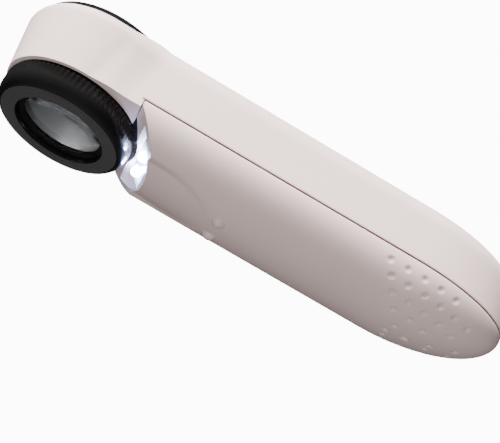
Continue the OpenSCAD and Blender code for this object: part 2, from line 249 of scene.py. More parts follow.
def add_object(name, data):
    """Links a new object with that data to the scene."""
    thing = bpy.data.objects.new(name, data)
    bpy.context.scene.collection.objects.link(thing)
    return thing


def make_object(name, verts, faces, crease=32):
    """A mesh object from millimetre points, with merged doubles and outward faces."""
    mesh = bpy.data.meshes.new(name)
    mesh.from_pydata([Vector(v) * MM for v in verts], [], faces)
    work = bmesh.new()
    work.from_mesh(mesh)
    bmesh.ops.remove_doubles(work, verts=work.verts, dist=2e-6)
    bmesh.ops.dissolve_degenerate(work, edges=work.edges, dist=1e-7)
    bmesh.ops.recalc_face_normals(work, faces=work.faces)
    work.to_mesh(mesh)
    work.free()
    piece = add_object(name, mesh)
    shade(piece, crease)
    return piece


def shade(piece, crease=32):
    """Smooth shading with sharp edges above the crease angle, in degrees."""
    piece.data.shade_smooth()
    piece.data.set_sharp_from_angle(angle=math.radians(crease))


def bake_modifiers(piece):
    """Applies the modifiers of a piece to its mesh."""
    graph = bpy.context.evaluated_depsgraph_get()
    mesh = bpy.data.meshes.new_from_object(piece.evaluated_get(graph))
    piece.modifiers.clear()
    piece.data = mesh


def combine(piece, tool, operation="DIFFERENCE"):
    """Cuts or joins a piece with a tool, and removes the tool."""
    change = piece.modifiers.new("change", "BOOLEAN")
    change.object = tool
    change.operation = operation
    change.solver = "EXACT"
    bake_modifiers(piece)
    bpy.data.objects.remove(tool)


def grid_faces(rows, columns, wrap_rows=False, wrap_columns=False):
    """Quads between neighbouring points of a rows x columns grid."""
    faces = []
    for i in range(rows if wrap_rows else rows - 1):
        for j in range(columns if wrap_columns else columns - 1):
            k, m = (i + 1) % rows, (j + 1) % columns
            faces.append((i * columns + j, k * columns + j, k * columns + m, i * columns + m))
    return faces


def shift(piece, by):
    """Moves the mesh of a piece by a vector in millimetres."""
    piece.data.transform(Matrix.Translation(Vector(by) * MM))


def slab(name, low, high, bevel=0.0):
    """A block between two corners, with rounded edges where bevel is given."""
    xs, ys, zs = zip(low, high)
    corners = [(x, y, z) for x in xs for y in ys for z in zs]
    sides = [(0, 1, 3, 2), (4, 6, 7, 5), (0, 4, 5, 1), (2, 3, 7, 6), (0, 2, 6, 4), (1, 5, 7, 3)]
    piece = make_object(name, corners, sides)
    if bevel:
        soften(piece, bevel)
    return piece


def soften(piece, width, segments=3):
    """Rounds the sharp edges of a piece by width."""
    edge = piece.modifiers.new("edge", "BEVEL")
    edge.width = width * MM
    edge.segments = segments
    edge.limit_method = "ANGLE"
    edge.angle_limit = math.radians(40)
    bake_modifiers(piece)
    shade(piece)


def revolve(name, profile, steps, closed=True, radius_at=None, crease=32):
    """Turns a profile of (radius, height) about the Z axis; radius_at may vary it with the angle."""
    verts = []
    for i in range(steps):
        turn = 2 * math.pi * i / steps
        for r, z in profile:
            r_here = radius_at(r, z, turn) if radius_at else r
            verts.append((r_here * math.cos(turn), r_here * math.sin(turn), z))
    faces = grid_faces(steps, len(profile), wrap_rows=True, wrap_columns=closed)
    return make_object(name, verts, faces, crease)


def tube(name, start, end, radius, steps=48):
    """A round bar from start to end."""
    axis = Vector(end) - Vector(start)
    outline = [(0, 0), (radius, 0), (radius, axis.length), (0, axis.length)]
    piece = revolve(name, outline, steps, closed=False)
    turn = Vector((0, 0, 1)).rotation_difference(axis).to_matrix().to_4x4()
    piece.data.transform(Matrix.Translation(Vector(start) * MM) @ turn)
    return piece


def dome(radius, start, end, steps):
    """An arc about the origin, kept from crossing the axis by rounding errors."""
    return [(max(r, 0.0), z) for r, z in arc((0, 0), radius, start, end, steps)]


def ball(name, centre, radius, steps):
    """A round ball."""
    piece = revolve(name, dome(radius, -90, 90, steps // 2), steps, closed=False)
    shift(piece, centre)
    return piece


def arc(centre, radius, start, end, steps):
    """Points of an arc in the (radius, height) plane, with angles in degrees."""
    points = []
    for i in range(steps + 1):
        a = math.radians(start + (end - start) * i / steps)
        points.append((centre[0] + radius * math.cos(a), centre[1] + radius * math.sin(a)))
    return points


def sweep(name, points, radius, sides=10):
    """A round wire along a list of points."""
    verts = []
    for i, point in enumerate(points):
        ahead = (points[min(i + 1, len(points) - 1)] - points[max(i - 1, 0)]).normalized()
        side = ahead.orthogonal() if i == 0 else (side - ahead * side.dot(ahead))
        side = side.normalized()
        other = ahead.cross(side)
        for j in range(sides):
            a = 2 * math.pi * j / sides
            verts.append(point + (side * math.cos(a) + other * math.sin(a)) * radius)
    faces = grid_faces(len(points), sides, wrap_columns=True)
    faces.append(tuple(range(sides)))
    faces.append(tuple(range(len(verts) - sides, len(verts))))
    return make_object(name, verts, faces, 50)


# ---------------------------------------------------------------- materials

def new_material(name):
    """An empty node material, with its principled shader and its object coordinates."""
    material = bpy.data.materials.new(name)
    material.use_nodes = True
    nodes = material.node_tree.nodes
    place = nodes.new("ShaderNodeTexCoord").outputs["Object"]
    return material, nodes, material.node_tree.links, nodes["Principled BSDF"], place


def noise(nodes, links, place, scale, detail=3.0, roughness=0.5):
    """A noise value over the object's coordinates."""
    texture = nodes.new("ShaderNodeTexNoise")
    texture.inputs["Scale"].default_value = scale
    texture.inputs["Detail"].default_value = detail
    texture.inputs["Roughness"].default_value = roughness
    links.new(place, texture.inputs["Vector"])
    return texture.outputs["Fac"]


def ramp(nodes, links, value, stops, interpolation="LINEAR"):
    """A colour ramp of (position, colour) stops over a value."""
    node = nodes.new("ShaderNodeValToRGB")
    node.color_ramp.interpolation = interpolation
    links.new(value, node.inputs["Fac"])
    elements = node.color_ramp.elements
    while len(elements) < len(stops):
        elements.new(0.5)
    for element, (position, colour) in zip(elements, stops):
        element.position = position
        element.color = (*colour, 1)
    return node.outputs["Color"]


def remap(nodes, links, value, low, high):
    """Spreads the middle of a noise value, 0.3 to 0.7, over low to high."""
    node = nodes.new("ShaderNodeMapRange")
    links.new(value, node.inputs["Value"])
    node.inputs["From Min"].default_value = 0.3
    node.inputs["From Max"].default_value = 0.7
    node.inputs["To Min"].default_value = low
    node.inputs["To Max"].default_value = high
    return node.outputs["Result"]


def add_bump(nodes, links, shader, height, strength, distance):
    """Bumps the surface by a height value; the distance is in metres."""
    node = nodes.new("ShaderNodeBump")
    node.inputs["Strength"].default_value = strength
    node.inputs["Distance"].default_value = distance
    links.new(height, node.inputs["Height"])
    links.new(node.outputs["Normal"], shader.inputs["Normal"])


def scaled(colour, factor):
    """A colour made lighter or darker, never past white."""
    return tuple(min(c * factor, 1.0) for c in colour)


def plastic(name, colour, rough, grain, bump, spread, metallic=0.0, shine=0.5):
    """Moulded plastic, rubber or metal: faint mottling, uneven gloss and a fine moulded grain."""
    material, nodes, links, shader, place = new_material(name)
    mottle = noise(nodes, links, place, 60.0)
    fine = noise(nodes, links, place, grain, detail=4.0, roughness=0.6)
    tones = [(0.3, scaled(colour, 1 - spread)), (0.7, scaled(colour, 1 + spread))]
    links.new(ramp(nodes, links, mottle, tones), shader.inputs["Base Color"])
    links.new(remap(nodes, links, fine, *rough), shader.inputs["Roughness"])
    add_bump(nodes, links, shader, fine, bump, 0.00004)
    shader.inputs["Metallic"].default_value = metallic
    shader.inputs["Specular IOR Level"].default_value = shine
    return material


def glass(name, tint, rough, ior):
    """Clear glass or epoxy with faint smears on its gloss."""
    material, nodes, links, shader, place = new_material(name)
    smear = noise(nodes, links, place, 140.0, detail=2.0)
    links.new(remap(nodes, links, smear, *rough), shader.inputs["Roughness"])
    tones = [(0.3, scaled(tint, 0.97)), (0.7, tint)]
    links.new(ramp(nodes, links, smear, tones), shader.inputs["Base Color"])
    shader.inputs["Transmission Weight"].default_value = 1.0
    shader.inputs["IOR"].default_value = ior
    return material


def glow(name, colour, strength):
    """A lit lamp: clear epoxy that shines, brighter in flecks."""
    material, nodes, links, shader, place = new_material(name)
    flecks = noise(nodes, links, place, 900.0)
    tones = [(0.35, scaled(colour, 0.86)), (0.65, colour)]
    shine = ramp(nodes, links, flecks, tones)
    links.new(shine, shader.inputs["Base Color"])
    links.new(shine, shader.inputs["Emission Color"])
    shader.inputs["Emission Strength"].default_value = strength
    shader.inputs["Roughness"].default_value = 0.15
    return material


def circuit(name):
    """Green solder mask with copper tracks under it and tinned pads."""
    material, nodes, links, shader, place = new_material(name)
    tracks = nodes.new("ShaderNodeTexBrick")
    tracks.inputs["Scale"].default_value = 420.0
    tracks.inputs["Mortar Size"].default_value = 0.035
    tracks.inputs["Color1"].default_value = (0.02, 0.16, 0.06, 1)
    tracks.inputs["Color2"].default_value = (0.025, 0.20, 0.08, 1)
    tracks.inputs["Mortar"].default_value = (0.07, 0.36, 0.16, 1)
    links.new(place, tracks.inputs["Vector"])
    links.new(tracks.outputs["Color"], shader.inputs["Base Color"])
    gloss = noise(nodes, links, place, 500.0)
    links.new(remap(nodes, links, gloss, 0.2, 0.34), shader.inputs["Roughness"])
    add_bump(nodes, links, shader, tracks.outputs["Fac"], 0.4, 0.00004)
    return material


def cell_sleeve(name, low_x, high_x, nub_first):
    """A cell's plain printed sleeve along X: bare steel ends, a gold band by the nub, a black body."""
    material, nodes, links, shader, place = new_material(name)
    split = nodes.new("ShaderNodeSeparateXYZ")
    links.new(place, split.inputs["Vector"])
    along = nodes.new("ShaderNodeMapRange")
    start, end = (low_x, high_x) if nub_first else (high_x, low_x)
    along.inputs["From Min"].default_value = start * MM
    along.inputs["From Max"].default_value = end * MM
    links.new(split.outputs["X"], along.inputs["Value"])
    steel, gold, black = (0.55, 0.55, 0.54), (0.62, 0.40, 0.09), (0.02, 0.02, 0.022)
    bands = [(0.0, steel), (0.045, gold), (0.305, black), (0.975, steel)]
    colour = ramp(nodes, links, along.outputs["Result"], bands, "CONSTANT")
    links.new(colour, shader.inputs["Base Color"])
    wear = noise(nodes, links, place, 400.0)
    links.new(remap(nodes, links, wear, 0.2, 0.34), shader.inputs["Roughness"])
    add_bump(nodes, links, shader, wear, 0.06, 0.00003)
    shader.inputs["Metallic"].default_value = 0.4
    return material


WHITE = plastic("white_plastic", (0.85, 0.675, 0.655), (0.34, 0.44), 1500.0, 0.05, 0.012)
GREY = plastic("grey_plastic", (0.52, 0.52, 0.52), (0.4, 0.5), 1200.0, 0.12, 0.03)
BLACK = plastic("black_plastic", (0.007, 0.007, 0.008), (0.36, 0.46), 1200.0, 0.06, 0.1, shine=0.3)
RING_SIDE = plastic("ring_gloss", (0.007, 0.007, 0.007), (0.16, 0.22), 1100.0, 0.03, 0.1, shine=0.32)
RING_FACE = plastic("ring_matt", (0.078, 0.076, 0.079), (0.6, 0.72), 2200.0, 0.25, 0.06, shine=0.3)
MATT = plastic("black_matt", (0.009, 0.009, 0.010), (0.5, 0.65), 1500.0, 0.15, 0.1, shine=0.3)
SPACER = plastic("spacer_satin", (0.115, 0.115, 0.12), (0.4, 0.5), 1500.0, 0.1, 0.05)
REFLECTOR = plastic("reflector_white", (0.86, 0.87, 0.90), (0.15, 0.25), 700.0, 0.04, 0.02)
NICKEL = plastic("nickel", (0.66, 0.64, 0.60), (0.2, 0.34), 800.0, 0.08, 0.06, metallic=1.0)
STEEL = plastic("screw_steel", (0.50, 0.50, 0.49), (0.25, 0.4), 1600.0, 0.12, 0.08, metallic=1.0)
TRAY = plastic("tray_plastic", (0.66, 0.65, 0.62), (0.45, 0.6), 900.0, 0.16, 0.03)
CERAMIC = plastic("resistor_body", (0.60, 0.44, 0.27), (0.25, 0.4), 1300.0, 0.1, 0.08)
RED = plastic("red_insulation", (0.50, 0.02, 0.015), (0.3, 0.42), 700.0, 0.08, 0.06)
DARK_WIRE = plastic("black_insulation", (0.014, 0.014, 0.014), (0.3, 0.42), 700.0, 0.08, 0.1)
FOAM = plastic("foam", (0.06, 0.06, 0.06), (0.9, 1.0), 2600.0, 1.0, 0.3)
GLASS = glass("lens_glass", (0.93, 0.95, 0.96), (0.0, 0.03), 1.52)
HAZY_GLASS = glass("lens_haze", (0.90, 0.92, 0.94), (0.24, 0.32), 1.52)
LAMP = glow("led_clear", (0.80, 0.90, 1.0), 60.0)
# painted shadow: a dark brown for the seam's gap and the faces just beside it
SEAM_SHADOW_PAINT = plastic("seam_shadow", (0.30, 0.20, 0.17), (0.6, 0.75), 1200.0, 0.1, 0.1)
CIRCUIT = circuit("circuit_board")


# ---------------------------------------------------------------- handing a piece to the frame

def finish_piece(piece, body, slot, material, *nodes):
    """Gives a new piece its material and its body, and hides the nodes it stands for; slot is not used.
    """
    piece.data.materials.clear()
    piece.data.materials.append(material)
    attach(piece, body)
    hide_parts(*nodes)
    return piece


def paint_seam_shadow(piece):
    """Paints shade on the faces of a housing in and beside the gap of the seam: a dark brown painted
    seam shadow.
    """
    piece.data.materials.append(SEAM_SHADOW_PAINT)
    for face in piece.data.polygons:
        x, z = face.center.x / MM, face.center.z / MM
        if abs(z - SEAM_Z) < SEAM_GAP / 2 + SEAM_SHADOW_REACH and x > FRONT_X - 1:
            face.material_index = 1


# ---------------------------------------------------------------- upper housing

def plan_stations():
    """Steps round half of the upper housing's outline, from the head's front to the tail's tip."""
    head = [("head", a) for a in spaced(math.pi, math.pi / 2, 44)]
    neck = [("side", x) for x in spaced(0.0, NECK_END, 44)]
    side = [("side", x) for x in spaced(NECK_END, TAIL_X, 24)]
    tail = [("tail", a) for a in spaced(math.pi / 2, 0.0, 48)]
    return head + neck + side + tail + [("tail", 0.0)]


def plan_point(station, radius, half):
    """A point of the outline, for a head of that radius on a handle of that half width."""
    kind, value = station
    if kind == "head":
        return radius * math.cos(value), radius * math.sin(value)
    if kind == "side":
        circle = math.sqrt(max(radius * radius - value * value, 0.0))
        return value, soft_max(circle, half, SHOULDER * smoothstep(0.0, SHOULDER_RUN, value))
    return TAIL_X + STRETCH * half * math.cos(value), half * math.sin(value)


def upper_levels():
    """(head radius, head height, handle half width, handle height) from the rim to the deck's edge."""
    straight = DECK_Z - DECK_R
    # the levels are closer together beside the seam, whose edge is rounded
    low = [RIM_Z, 8.4, 9.1, 9.7, 10.0]
    soft = [10.15, 10.22, 10.3, 10.4, 10.5, 10.7]
    heights = low + soft + spaced(11.4, straight, 12)
    edge_steps = 14
    levels = []
    for z in heights:
        t = (z - RIM_Z) / (straight - RIM_Z)
        levels.append((RIM_R + (HEAD_R - RIM_R) * t, RIM_Z + (HEAD_Z - RIM_Z) * t, HALF_W, z))
    for i in range(edge_steps + 1):
        a = math.pi / 2 * i / edge_steps
        rise, pull = math.sin(a), 1 - math.cos(a)
        levels.append((HEAD_R - HEAD_EDGE * pull, HEAD_Z + HEAD_EDGE * rise,
                       HALF_W - DECK_R * pull, straight + DECK_R * rise))
    return levels


def seam_inset(x, z, seam_edge):
    """How far the wall pulls in beside the seam, to round the edge of the gap."""
    reach = SEAM_SOFT - abs(z - seam_edge)
    if reach <= 0:
        return 0.0
    return SEAM_PULL * (reach / SEAM_SOFT) ** 2 * smoothstep(FRONT_X - 1.0, FRONT_X, x)


def upper_solid():
    """The upper housing's outside as a closed solid: walls from the rim up, and a flat top."""
    levels = upper_levels()
    across = 18
    verts = []
    for station in plan_stations():
        side = []
        for radius, head_z, half, handle_z in levels:
            x, y = plan_point(station, radius, half)
            z = head_z + (handle_z - head_z) * smoothstep(BLEND_START, BLEND_END, x)
            y = max(y - seam_inset(x, z, SEAM_TOP), 0.0)
            side.append((x, y, z))
        x, y, z = side[-1]
        top = [(x, y * (1 - 2 * k / across), z) for k in range(1, across)]
        verts += side + top + [(px, -py, pz) for px, py, pz in reversed(side)]
    columns = 2 * len(levels) + across - 1
    rows = len(verts) // columns
    faces = grid_faces(rows, columns, wrap_columns=True)
    return make_object("upper_shell", verts, faces)


def handle_hollow():
    """The hollow of the upper housing behind the head, with the ledge round the battery door left in."""
    inner = HALF_W - WALL
    top = DECK_Z - WALL
    edge = DECK_R - WALL
    well_below_seam = SEAM_Z / 2
    section = [(inner, well_below_seam)] + arc((inner - edge, top - edge), edge, 0, 90, 8)
    section = section + [(-y, z) for y, z in reversed(section)]
    turns = spaced(math.pi / 2, 0.0, 24)[1:] + [0.0]
    verts = []
    for x in (HEAD_BORE + HEAD_WALL, TAIL_X):
        verts += [(x, y, z) for y, z in section]
    for a in turns:
        verts += [(TAIL_X + STRETCH * abs(y) * math.cos(a), y * math.sin(a), z) for y, z in section]
    count = len(section)
    rows = len(verts) // count
    faces = grid_faces(rows, count, wrap_columns=True)
    faces.append(tuple(range(count)))
    hollow = make_object("hollow", verts, faces)
    low = (BAY_X - LEDGE_W, -BAY_W - LEDGE_W, top - LEDGE_H)
    combine(hollow, slab("ledge", low, (BAY_END + LEDGE_W, BAY_W + LEDGE_W, FAR)))
    return hollow


def upper_housing():
    """The shell with the head on it: bored for the lens barrel and open for the cells and the switch."""
    under_deck = DECK_Z - WALL
    piece = upper_solid()
    combine(piece, handle_hollow())
    combine(piece, tube("bore", (0, 0, RIM_Z - 2), (0, 0, PLATE_Z), HEAD_BORE, 160))
    combine(piece, tube("eye", (0, 0, 0), (0, 0, CLEAR), PLATE_BORE, 128))
    combine(piece, tube("seat", (0, 0, CAP_Z), (0, 0, CLEAR), SEAT_R, 192))
    combine(piece, slab("seam", (FRONT_X - SEAM_GAP, -FAR, -FAR), (FAR, FAR, SEAM_TOP)))
    # the door's recess, the opening below it, and the slot of the switch
    low = (BAY_X - DOOR_GAP, -BAY_W - DOOR_GAP, under_deck)
    combine(piece, slab("recess", low, (BAY_END + DOOR_GAP, BAY_W + DOOR_GAP, FAR)))
    low = (BAY_X + DOOR_LIP, -BAY_W + DOOR_LIP, under_deck - 3)
    combine(piece, slab("bay", low, (BAY_END - DOOR_LIP, BAY_W - DOOR_LIP, FAR)))
    front, rear, half = SWITCH_SLOT
    combine(piece, slab("slot", (front, -half, under_deck - 1), (rear, half, FAR)))
    shade(piece, 26)
    finish_piece(piece, "housing", "white_plastic", WHITE, "upper_housing")
    # painted shadow in and beside the seam's gap
    paint_seam_shadow(piece)


# ---------------------------------------------------------------- lower housing

def lower_stations():
    """(x, tail angle) steps along the belly; the angle is a right angle in front of the tail."""
    grip = DIMPLE_X - 3
    front = spaced(BELLY_START, SCOOP_END, 76) + spaced(SCOOP_END, grip, 20) + spaced(grip, TAIL_X, 28)
    straight = [(x, math.pi / 2) for x in front]
    fine = [(TAIL_X, a) for a in spaced(math.pi / 2, TAIL_FINE, 88)]
    end = [(TAIL_X, a) for a in spaced(TAIL_FINE, 0.0, 30)]
    return straight + fine + end + [(TAIL_X, 0.0)]


def belly_grid(stations, angles, inset):
    """Points of the belly, pulled in by inset, as an array of stations x angles x 3."""
    points = np.zeros((len(stations), len(angles), 3))
    for i, (x, turn) in enumerate(stations):
        for j, a in enumerate(angles):
            reach = (HALF_W - inset) * math.cos(a)
            z = min(SEAM_FOOT, SEAM_Z - (BELLY - inset) * math.sin(a))
            along = STRETCH * abs(reach) * math.cos(turn)
            points[i, j] = (x + along, reach * math.sin(turn), z)
    return points


def belly_normals(points):
    """Outward directions of the belly at an array of its points."""
    slope = np.empty_like(points)
    slope[..., 0] = np.maximum(points[..., 0] - TAIL_X, 0.0) / TAIL_LEN ** 2
    slope[..., 1] = points[..., 1] / HALF_W ** 2
    slope[..., 2] = (points[..., 2] - SEAM_Z) / BELLY ** 2
    return slope / np.maximum(np.linalg.norm(slope, axis=-1, keepdims=True), 1e-9)


def belly_point(x, angle):
    """The point of the belly at x and at an angle below the seam, 0 at the seam on the +Y side."""
    height = SEAM_Z - BELLY * math.sin(angle)
    reach = HALF_W * math.cos(angle)
    past = max(x - TAIL_X, 0.0) / STRETCH
    side = math.sqrt(max(reach * reach - past * past, 0.0))
    return np.array((x, math.copysign(side, reach), height))


def dimple_centres():
    """Staggered rows of dimples on both sides of the belly and along its middle."""
    centres = []
    for row, count in enumerate(ROW_COUNTS):
        angle = math.pi / 2 - ROW_STEP * (len(ROW_COUNTS) - row)
        start = DIMPLE_X + ROW_SHIFT * row + ROW_BEND * row * row
        for k in range(count):
            x = start + DIMPLE_PITCH * k
            centres += [belly_point(x, angle), belly_point(x, math.pi - angle)]
    start = DIMPLE_X + MIDDLE_SHIFT
    return centres + [belly_point(start + DIMPLE_PITCH * k, math.pi / 2) for k in range(MIDDLE_COUNT)]


def scoop_depth(points):
    """How far the soft scoop behind the mouth lifts each point of the belly."""
    x, y = points[..., 0], points[..., 1]
    run = np.clip((x - SCOOP_X) / SCOOP_LEN, 0.0, 1.0)
    half = SCOOP_HALF * np.sqrt(1 - run * run)
    inside = np.clip((half - np.abs(y)) / SCOOP_SOFT, 0.0, 1.0)
    shoulder = inside * inside * (3 - 2 * inside)
    fade = np.clip((SCOOP_X + SCOOP_LEN - x) / (SCOOP_LEN + SCOOP_FADE), 0.0, 1.0)
    below = points[..., 2] < SCOOP_TOP
    return SCOOP_DEPTH * fade * shoulder * below


def belly_outer(angles, stations):
    """The belly's outside with its scoop, its dimples and the rounded edge beside the seam."""
    points = belly_grid(stations, angles, 0.0)
    normals = belly_normals(points)
    depth = scoop_depth(points)
    for centre in dimple_centres():
        away = np.linalg.norm(points - centre, axis=-1) / DIMPLE_R
        depth += DIMPLE_DEPTH * np.clip(1 - away * away, 0.0, 1.0) ** 2
    reach = SEAM_SOFT - np.abs(points[..., 2] - SEAM_FOOT)
    depth += SEAM_PULL * (np.clip(reach, 0.0, None) / SEAM_SOFT) ** 2
    return points - normals * depth[..., None]


def closed_belly(name, points, both_ends=False):
    """A solid from the belly's grid: a flat lid at the seam and a flat front, or two flat ends."""
    rows, columns = points.shape[:2]
    verts = [tuple(p) for p in points.reshape(-1, 3)]
    faces = grid_faces(rows, columns, wrap_columns=True)
    faces.append(tuple(range(columns)))
    if both_ends:
        faces.append(tuple(range(columns, 2 * columns)))
    return make_object(name, verts, faces)


def belly_angles(steps):
    """Angles below the seam, closer together beside the seam."""
    edge = [0.0, 0.012, 0.014, 0.018, 0.023, 0.03, 0.038]
    middle = spaced(0.055, math.pi - 0.055, steps)
    return edge + middle + [math.pi - a for a in [0.055] + edge[::-1]]


def even_angles(steps=60):
    """Even angles from one side of the seam to the other."""
    return [math.pi * i / steps for i in range(steps + 1)]


def mouth_frame():
    """Place and directions of the mouth: its middle, the way out of it, and the way down its slope."""
    middle = Vector((MOUTH_X / 2 + MOUTH_MID, 0, MOUTH_X / 2 - MOUTH_MID))
    return middle, Vector((-1, 0, -1)).normalized(), Vector((1, 0, -1)).normalized()


def to_mouth(piece):
    """Moves a piece from its own axes to the mouth: its X points out, its Z down the slope."""
    middle, out, down = mouth_frame()
    turn = Matrix((out, Vector((0, 1, 0)), down)).transposed().to_4x4()
    piece.data.transform(Matrix.Translation(middle * MM) @ turn)
    return piece


def hood():
    """The wall that hugs the focus ring above the lamps and closes the belly's front."""
    ends = [(x, math.pi / 2) for x in (BELLY_START, BAY_X)]
    core = closed_belly("core", belly_grid(ends, even_angles(), HOOD_INSET), both_ends=True)
    keep = tube("keep", (0, 0, HOOD_Z), (0, 0, CLEAR), HUG_R + HOOD_WALL, 160)
    slope = to_mouth(slab("slope", (-HOOD_WALL, -FAR, -FAR), (FAR, FAR, FAR)))
    combine(keep, slope, "UNION")
    front = slab("front", (0, -FAR, HOOD_Z), (FRONT_X + HOOD_WALL, FAR, FAR))
    combine(keep, front, "UNION")
    combine(core, keep, "INTERSECT")
    combine(core, slab("under", (-FAR, -FAR, -FAR), (FAR, FAR, HOOD_Z)))
    return core


def lower_housing():
    """The belly's shell with its hood, pips and screw posts, cut by the mouth and round the ring."""
    piece = closed_belly("lower_shell", belly_outer(belly_angles(170), lower_stations()))
    straight = [(x, math.pi / 2) for x in (6.0, 30.0, TAIL_X - 0.01)]
    tail = [(TAIL_X, a) for a in spaced(math.pi / 2, 0.0, 24)] + [(TAIL_X, 0.0)]
    inner = belly_grid(straight + tail, even_angles(), WALL)
    # the inside's lid stands above the seam, so that the shell is open there
    inner[:, [0, -1], 2] += 2.0
    combine(piece, closed_belly("inner", inner))
    combine(piece, hood(), "UNION")
    for side in (-1, 1):
        profile = dome(PIP_R, -90, 12, 14)
        pip = revolve("pip", profile + [(0.0, profile[-1][1])], 40, closed=False)
        shift(pip, (PIP.x, side * PIP.y, PIP.z))
        combine(piece, pip, "UNION")
    for x in POST_X:
        combine(piece, tube("post", (x, 0, POST_Z[0]), (x, 0, POST_Z[1]), POST_R), "UNION")
        combine(piece, tube("pilot", (x, 0, PILOT_Z[0]), (x, 0, PILOT_Z[1]), PILOT_R, 32))
    combine(piece, to_mouth(slab("mouth", (0, -FAR, -FAR), (FAR, FAR, FAR))))
    combine(piece, slab("step", (-FAR, -FAR, -FAR), (FRONT_X, FAR, FAR)))
    combine(piece, tube("hug", (0, 0, -CLEAR), (0, 0, CLEAR), HUG_R, 192))
    shade(piece, 26)
    finish_piece(piece, "housing", "white_plastic", WHITE, "lower_housing")
    # painted shadow in and beside the seam's gap
    paint_seam_shadow(piece)


# ---------------------------------------------------------------- head: cap, ring, lenses

def eyepiece_cap():
    """The black plate on the head, with a groove round it and a rounded lip round the opening."""
    top = cap_high.z
    foot = PLATE_Z - 1.3
    profile = [(EYE_R, foot), (CAP_SPIGOT, foot), (CAP_SPIGOT, CAP_Z + 0.02)]
    profile += [(CAP_FOOT_R - 0.1, CAP_Z + 0.02), (CAP_FOOT_R, CAP_Z + 0.12)]
    profile += arc((CAP_R - CAP_ROUND, top - CAP_ROUND), CAP_ROUND, 0, 90, 6)
    for inward, down in ((0.0, 0.0), (0.15, 0.2), (0.5, 0.2), (0.65, 0.0)):
        profile.append((CAP_GROOVE_R - inward, top - down))
    profile += [(EYE_R + 1.9, top), (EYE_R + 1.6, top - 0.35)]
    profile += arc((EYE_R + 0.5, top - 0.85), 0.5, 90, 180, 5)
    piece = revolve("cap", profile, 160, crease=28)
    finish_piece(piece, "housing", "black_plastic", BLACK, "eyepiece_cap")


def tooth_radius(r, z, turn):
    """Radius of the ring's side with its pointed knurl, which fades out towards the face."""
    if r < FACE_R + 1.6 or z < TOOTH_LOW or z > SKIRT_H:
        return r
    wave = abs(2 * ((turn * TEETH / (2 * math.pi)) % 1.0) - 1)
    return r - TOOTH_DEPTH * wave * smoothstep(TOOTH_LOW, TOOTH_HIGH, z)


def focus_ring():
    """The knurled ring: a flat face with a rounded shoulder, a knurled skirt and a plain neck."""
    outer = ring_high.y
    shoulder = []
    steps = 12
    for i in range(steps + 1):
        a = math.pi / 2 * i / steps
        shoulder.append((FACE_R + (outer - FACE_R) * math.sin(a), FACE_ROUND * (1 - math.cos(a))))
    side = [(outer, z) for z in spaced(FACE_ROUND + 0.3, SKIRT_H - 0.25, 9)] + [(outer, SKIRT_H - 0.2)]
    top = [(outer - 0.2, SKIRT_H), (outer - 0.8, SKIRT_H), (NECK_R, SKIRT_H), (NECK_R, ring_high.z)]
    inside = [(NECK_BORE, ring_high.z), (NECK_BORE, LEDGE_Z), (OPENING_R, LEDGE_Z)]
    # fine turned grooves in the recess wall
    for k in (2, 1):
        z = TURNED_PITCH * k
        bottom = OPENING_R + TURNED_DEPTH
        inside += [(OPENING_R, z + TURNED_DEPTH), (bottom, z), (OPENING_R, z - TURNED_DEPTH)]
    lip = [(OPENING_R, 0.2), (OPENING_R + 0.2, 0.0), (FACE_R - 0.25, 0.0)]
    profile = lip + shoulder + side + top + inside
    piece = revolve("knurled_ring", profile, TEETH * 8, radius_at=tooth_radius, crease=30)
    finish_piece(piece, "ring", "black_ring", RING_SIDE, "focus_ring")
    piece.data.materials.append(RING_FACE)
    for face in piece.data.polygons:
        on_front = face.center.z < 0.05 * MM
        face.material_index = 1 if on_front else 0


def retaining_ring():
    """The threaded ring in front of the lens, stepped inside and notched for a pin spanner."""
    low, high = node_box("retaining_ring")
    outer, step = high.y, LOCK_BORE + 0.3
    profile = [(LOCK_BORE, high.z), (LOCK_BORE, low.z + 0.45), (step, low.z + 0.15), (step, low.z)]
    profile += [(outer, low.z), (outer, high.z)]
    piece = revolve("lock_ring", profile, 144, crease=25)
    for turn in (0, 90):
        notch = slab("notch", (-outer, -NOTCH_HALF, low.z - 1), (outer, NOTCH_HALF, low.z + NOTCH_DEPTH))
        notch.data.transform(Matrix.Rotation(math.radians(turn + NOTCH_TURN), 4, "Z"))
        combine(piece, notch)
    shade(piece, 25)
    finish_piece(piece, "barrel", "black_matt", MATT, "retaining_ring")


def sag(curve, r):
    """How far a face of that radius of curvature falls back at r; a curve of 0 is a flat face."""
    return curve - math.sqrt(curve * curve - r * r) if curve else 0.0


def lens(node, name, front_curve, back_curve, material):
    """A ground lens with a fine bevel on both edges."""
    low, high = node_box(node)
    radius = high.y
    rim = radius - LENS_RIM
    radii = spaced(0.0, rim, 28)
    front = [(r, low.z + sag(front_curve, r)) for r in radii]
    back = [(r, high.z - sag(back_curve, r)) for r in radii]
    edge = [(radius - LENS_BEVEL, low.z + sag(front_curve, rim)),
            (radius, low.z + sag(front_curve, radius) + LENS_BEVEL),
            (radius, high.z - sag(back_curve, radius) - LENS_BEVEL),
            (radius - LENS_BEVEL, high.z - sag(back_curve, rim))]
    piece = revolve(name, front + edge + back[::-1], 128, closed=False, crease=40)
    finish_piece(piece, "barrel", "lens_glass", material, node)


# ---------------------------------------------------------------- lamps

def lamp(node):
    """A 3 mm lamp: a clear dome on a flange, looking out of the mouth."""
    low, high = node_box(node)
    flange = LAMP_LEN - FLANGE_H
    flange_r = LAMP_R + FLANGE_W
    profile = [(max(r, 0.0), z) for r, z in arc((0, LAMP_R), LAMP_R, -90, 0, 10)]
    profile += [(LAMP_R, flange), (flange_r, flange), (flange_r, LAMP_LEN), (0, LAMP_LEN)]
    piece = revolve(node + "_lens", profile, 48, closed=False)
    piece.data.transform(Matrix.Rotation(math.radians(-90), 4, "Y"))
    shift(piece, (-LAMP_SET, (low.y + high.y) / 2, 0))
    to_mouth(piece)
    finish_piece(piece, "housing", "led_clear", LAMP, node)


# ---------------------------------------------------------------- switch and battery door

